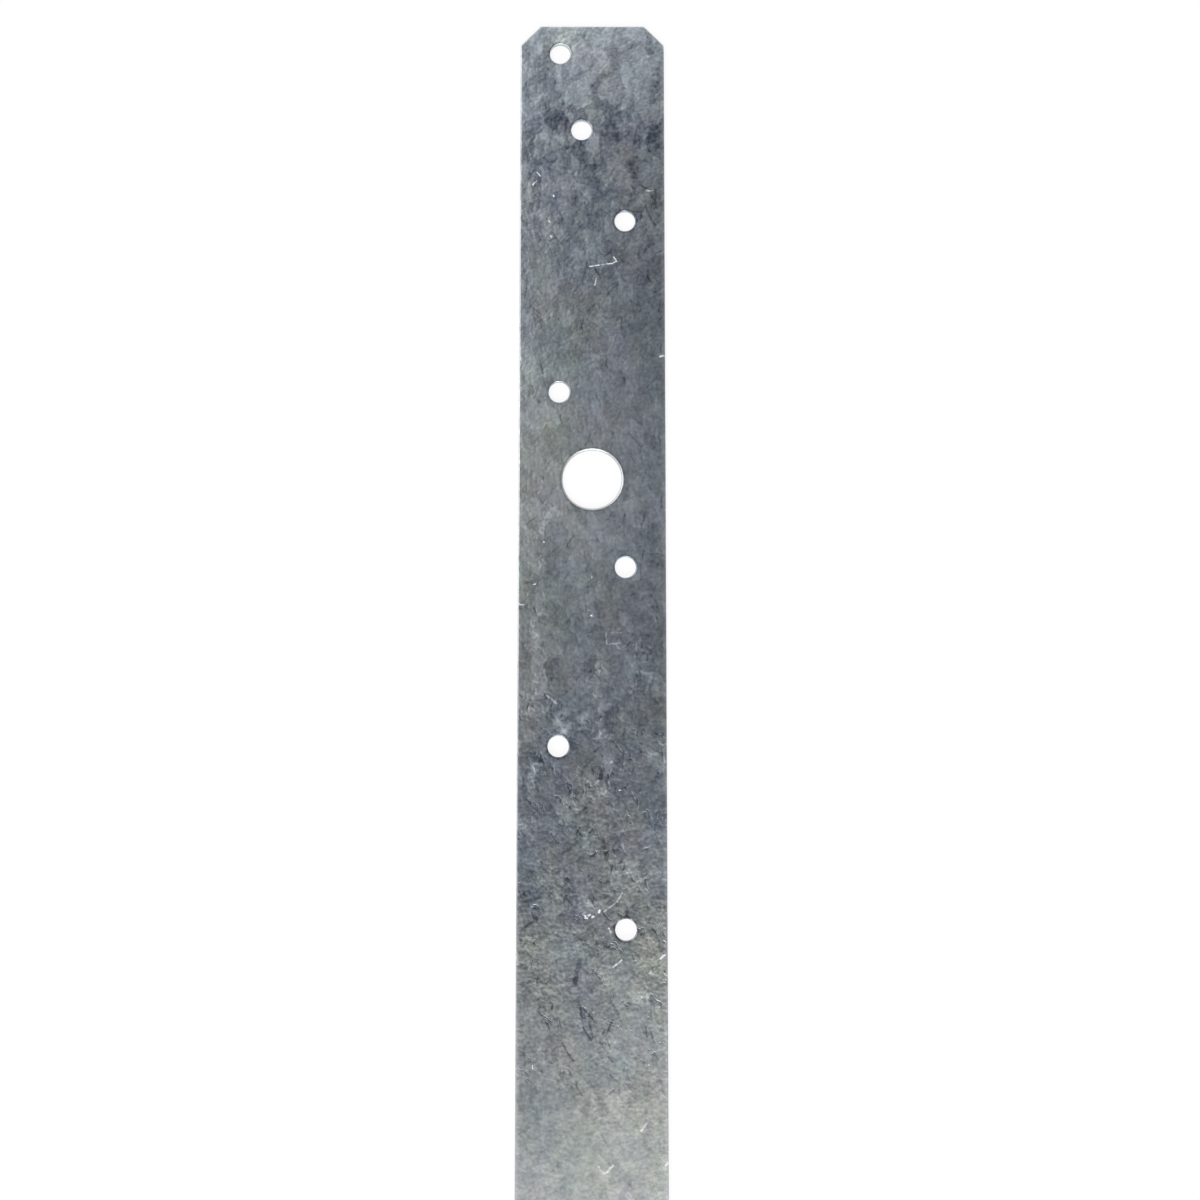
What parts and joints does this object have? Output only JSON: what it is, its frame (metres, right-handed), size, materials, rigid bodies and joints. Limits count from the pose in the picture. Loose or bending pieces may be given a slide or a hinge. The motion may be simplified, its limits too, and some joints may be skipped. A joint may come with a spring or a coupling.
{
  "type": "strap tie",
  "caption": "Long flat galvanised steel strap with clipped corners, staggered nail holes and round tooling holes, nailed across framing members to tie them in line.",
  "frame": {"origin": "centre of the back face, which lies on the wood", "axes": "+X across the width, +Y along the length, +Z out of the front face"},
  "size_m": [0.0318, 0.4572, 0.001],
  "materials": {
    "galvanised_steel": "hot-dip galvanised, dull grey with a faint spangle"
  },
  "bodies": {
    "root": {"strap": "galvanised_steel"}
  },
  "joints": []
}
